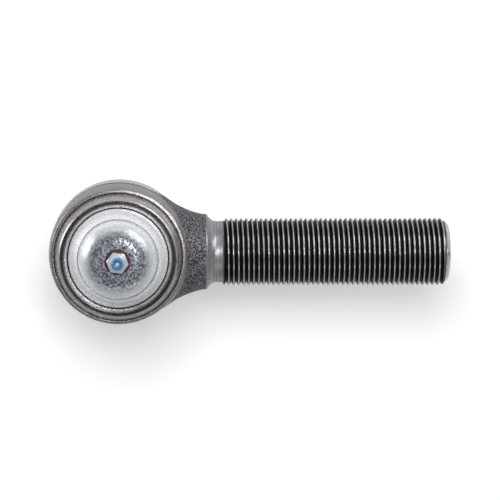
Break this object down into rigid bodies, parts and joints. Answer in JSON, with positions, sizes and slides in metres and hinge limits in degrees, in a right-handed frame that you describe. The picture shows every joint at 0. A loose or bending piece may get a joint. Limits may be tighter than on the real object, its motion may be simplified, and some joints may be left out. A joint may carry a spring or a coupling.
{
  "type": "rod end bearing",
  "caption": "Greasable steering ball-joint rod end: forged socket on a male threaded shank, with a tapered stud that swings and spins on a ball.",
  "frame": {"origin": "centre of the ball, where the shank's axis meets the stud's axis", "axes": "+X along the shank towards its threaded end, +Z along the stud's axis towards the end cap and grease fitting, stud to -Z"},
  "size_m": [0.169, 0.0586, 0.1516],
  "materials": {
    "forged_steel": "dark forged skin, machined on the head, oiled",
    "zinc_plate": "bright bluish zinc plate",
    "spring_steel": "plain oiled spring steel",
    "bearing_bronze": "turned bearing bronze",
    "ground_steel": "hardened and ground",
    "boot_rubber": "matt moulded rubber",
    "yellow_zinc": "yellow passivated zinc",
    "blue_zinc": "blue passivated zinc",
    "red_seal": "satin moulded seal"
  },
  "bodies": {
    "housing": {"socket_housing": "forged_steel", "end_cap": "zinc_plate", "preload_spring": "spring_steel", "stud_side_seat": "bearing_bronze", "boot_retainer_ring": "zinc_plate", "grease_fitting": "blue_zinc", "fitting_seal_washer": "red_seal", "fitting_check_spring": "spring_steel"},
    "floating_seat": {"cap_side_seat": "bearing_bronze"},
    "boot": {"dust_boot": "boot_rubber"},
    "boot_ring": {"boot_garter_ring": "spring_steel"},
    "stud": {"ball_stud": "ground_steel", "castle_nut": "yellow_zinc", "cotter_pin": "spring_steel"},
    "check_ball": {"fitting_check_ball": "ground_steel"}
  },
  "joints": [
    {"name": "seat_lift", "type": "slide", "parent": "housing", "child": "floating_seat", "axis": [0, 0, 1], "range_m": [0, 0.0004], "deforming": ["preload_spring"]},
    {"name": "stud_swing_x", "type": "hinge", "parent": "floating_seat", "child": "boot", "pos_m": [0, 0, 0], "axis": [1, 0, 0], "range_deg": [-15, 15], "deforming": ["dust_boot"]},
    {"name": "stud_swing_y", "type": "hinge", "parent": "boot", "child": "boot_ring", "pos_m": [0, 0, 0], "axis": [0, 1, 0], "range_deg": [-15, 15]},
    {"name": "stud_spin", "type": "hinge", "parent": "boot_ring", "child": "stud", "pos_m": [0, 0, 0], "axis": [0, 0, 1], "continuous": true},
    {"name": "check_ball_push", "type": "slide", "parent": "housing", "child": "check_ball", "axis": [0, 0, -1], "range_m": [0, 0.0005], "stiffness_N_per_m": 5, "deforming": ["fitting_check_spring"]}
  ]
}
